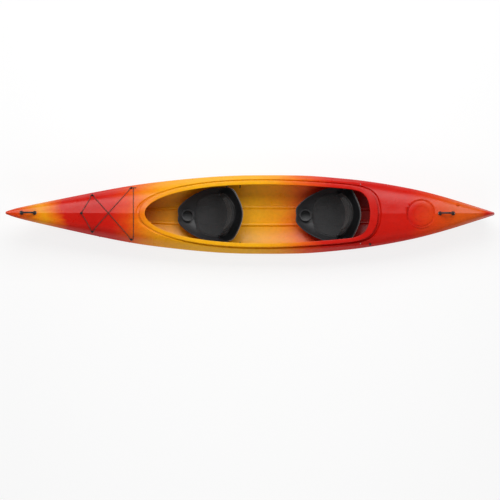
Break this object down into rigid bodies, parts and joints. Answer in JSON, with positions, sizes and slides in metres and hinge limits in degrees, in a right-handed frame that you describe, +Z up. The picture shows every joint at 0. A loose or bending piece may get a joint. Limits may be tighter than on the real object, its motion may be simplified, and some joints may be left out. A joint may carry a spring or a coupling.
{
  "type": "tandem kayak",
  "caption": "Open-cockpit two-seat kayak with bucket seats, folding backrests, sliding foot pedals, swinging carry handles and a bungee laced over the fore deck.",
  "frame": {"origin": "middle of the bounding box in plan, at the level of the keel it rests on", "axes": "+X towards the stern, +Y towards starboard, +Z up; the bow points along -X"},
  "size_m": [4.42, 0.712, 0.4757],
  "materials": {
    "hull_plastic": "satin moulded polyethylene, colours blended along the length",
    "deck_plastic": "satin moulded polyethylene, red ends and amber middle",
    "black_plastic": "matt moulded",
    "seat_plastic": "matt moulded",
    "pad_cloth": "woven over foam",
    "webbing": "flat woven",
    "cord": "braided",
    "steel": "plain",
    "rail_metal": "satin",
    "seal_rubber": "soft",
    "runner_rubber": "soft",
    "foam": "closed-cell foam"
  },
  "bodies": {
    "kayak": {"hull": "hull_plastic", "bow_deck": "deck_plastic", "port_side_deck": "deck_plastic", "starboard_side_deck": "deck_plastic", "stern_deck": "deck_plastic", "skid_plate": "black_plastic", "skid_plate_screws": "steel", "bow_handle_mounts": "black_plastic", "bow_handle_pins": "steel", "bow_handle_screws": "steel", "stern_handle_mounts": "black_plastic", "stern_handle_pins": "steel", "stern_handle_screws": "steel", "deck_loops": "black_plastic", "deck_loop_screws": "steel", "deck_bungee": "cord", "bungee_knot": "cord", "side_loop": "black_plastic", "side_loop_screw": "steel", "rim_screws": "steel", "drain_flange": "black_plastic", "bow_foam": "foam", "stern_foam": "foam", "front_seat_pan": "seat_plastic", "front_seat_runners": "runner_rubber", "front_seat_pad": "pad_cloth", "front_seat_brackets": "seat_plastic", "front_seat_bolts": "steel", "front_backrest_pins": "steel", "front_seat_strap": "webbing", "rear_seat_pan": "seat_plastic", "rear_seat_runners": "runner_rubber", "rear_seat_pad": "pad_cloth", "rear_seat_brackets": "seat_plastic", "rear_seat_bolts": "steel", "rear_backrest_pins": "steel", "rear_seat_strap": "webbing", "bow_port_rail": "rail_metal", "bow_starboard_rail": "rail_metal", "mid_port_rail": "rail_metal", "mid_starboard_rail": "rail_metal", "rail_screws": "steel"},
    "front backrest": {"front_backrest": "seat_plastic", "front_backrest_pad": "pad_cloth"},
    "rear backrest": {"rear_backrest": "seat_plastic", "rear_backrest_pad": "pad_cloth"},
    "bow port foot pedal": {"bow_port_pedal": "black_plastic"},
    "bow starboard foot pedal": {"bow_starboard_pedal": "black_plastic"},
    "mid port foot pedal": {"mid_port_pedal": "black_plastic"},
    "mid starboard foot pedal": {"mid_starboard_pedal": "black_plastic"},
    "bow carry handle": {"bow_handle": "black_plastic"},
    "stern carry handle": {"stern_handle": "black_plastic"},
    "drain seal": {"drain_seal": "seal_rubber"},
    "drain plug": {"drain_plug": "black_plastic"}
  },
  "joints": [
    {"name": "front backrest fold", "type": "hinge", "parent": "kayak", "child": "front backrest", "pos_m": [-0.276, 0, 0.15], "axis": [0, -1, 0], "range_deg": [-15, 90]},
    {"name": "rear backrest fold", "type": "hinge", "parent": "kayak", "child": "rear backrest", "pos_m": [0.79, 0, 0.15], "axis": [0, -1, 0], "range_deg": [-15, 90]},
    {"name": "bow port foot pedal slide", "type": "slide", "parent": "kayak", "child": "bow port foot pedal", "axis": [0.977, -0.1747, -0.1221], "range_m": [-0.1, 0.1]},
    {"name": "bow starboard foot pedal slide", "type": "slide", "parent": "kayak", "child": "bow starboard foot pedal", "axis": [0.977, 0.1747, -0.1221], "range_m": [-0.1, 0.1]},
    {"name": "mid port foot pedal slide", "type": "slide", "parent": "kayak", "child": "mid port foot pedal", "axis": [0.9996, -0.0287, 0], "range_m": [-0.1, 0.1]},
    {"name": "mid starboard foot pedal slide", "type": "slide", "parent": "kayak", "child": "mid starboard foot pedal", "axis": [0.9996, 0.0287, 0], "range_m": [-0.1, 0.1]},
    {"name": "bow carry handle swing", "type": "hinge", "parent": "kayak", "child": "bow carry handle", "pos_m": [-2.00494, 0, 0.4341], "axis": [0.9971, 0, -0.0756], "range_deg": [-60, 60]},
    {"name": "stern carry handle swing", "type": "hinge", "parent": "kayak", "child": "stern carry handle", "pos_m": [1.77664, 0, 0.3751], "axis": [0.9997, 0, 0.026], "range_deg": [-60, 60]},
    {"name": "drain seal lift", "type": "slide", "parent": "kayak", "child": "drain seal", "axis": [0.0993, 0.5332, 0.8402], "range_m": [0, 0.0076]},
    {"name": "drain plug turn", "type": "hinge", "parent": "drain seal", "child": "drain plug", "pos_m": [1.876, 0.078, 0.34319], "axis": [0.0993, 0.5332, 0.8402], "range_deg": [0, 900]}
  ],
  "couplings": [
    {"joint": "drain seal lift", "follows": "drain plug turn", "m_per_rad": 0.00047746}
  ]
}
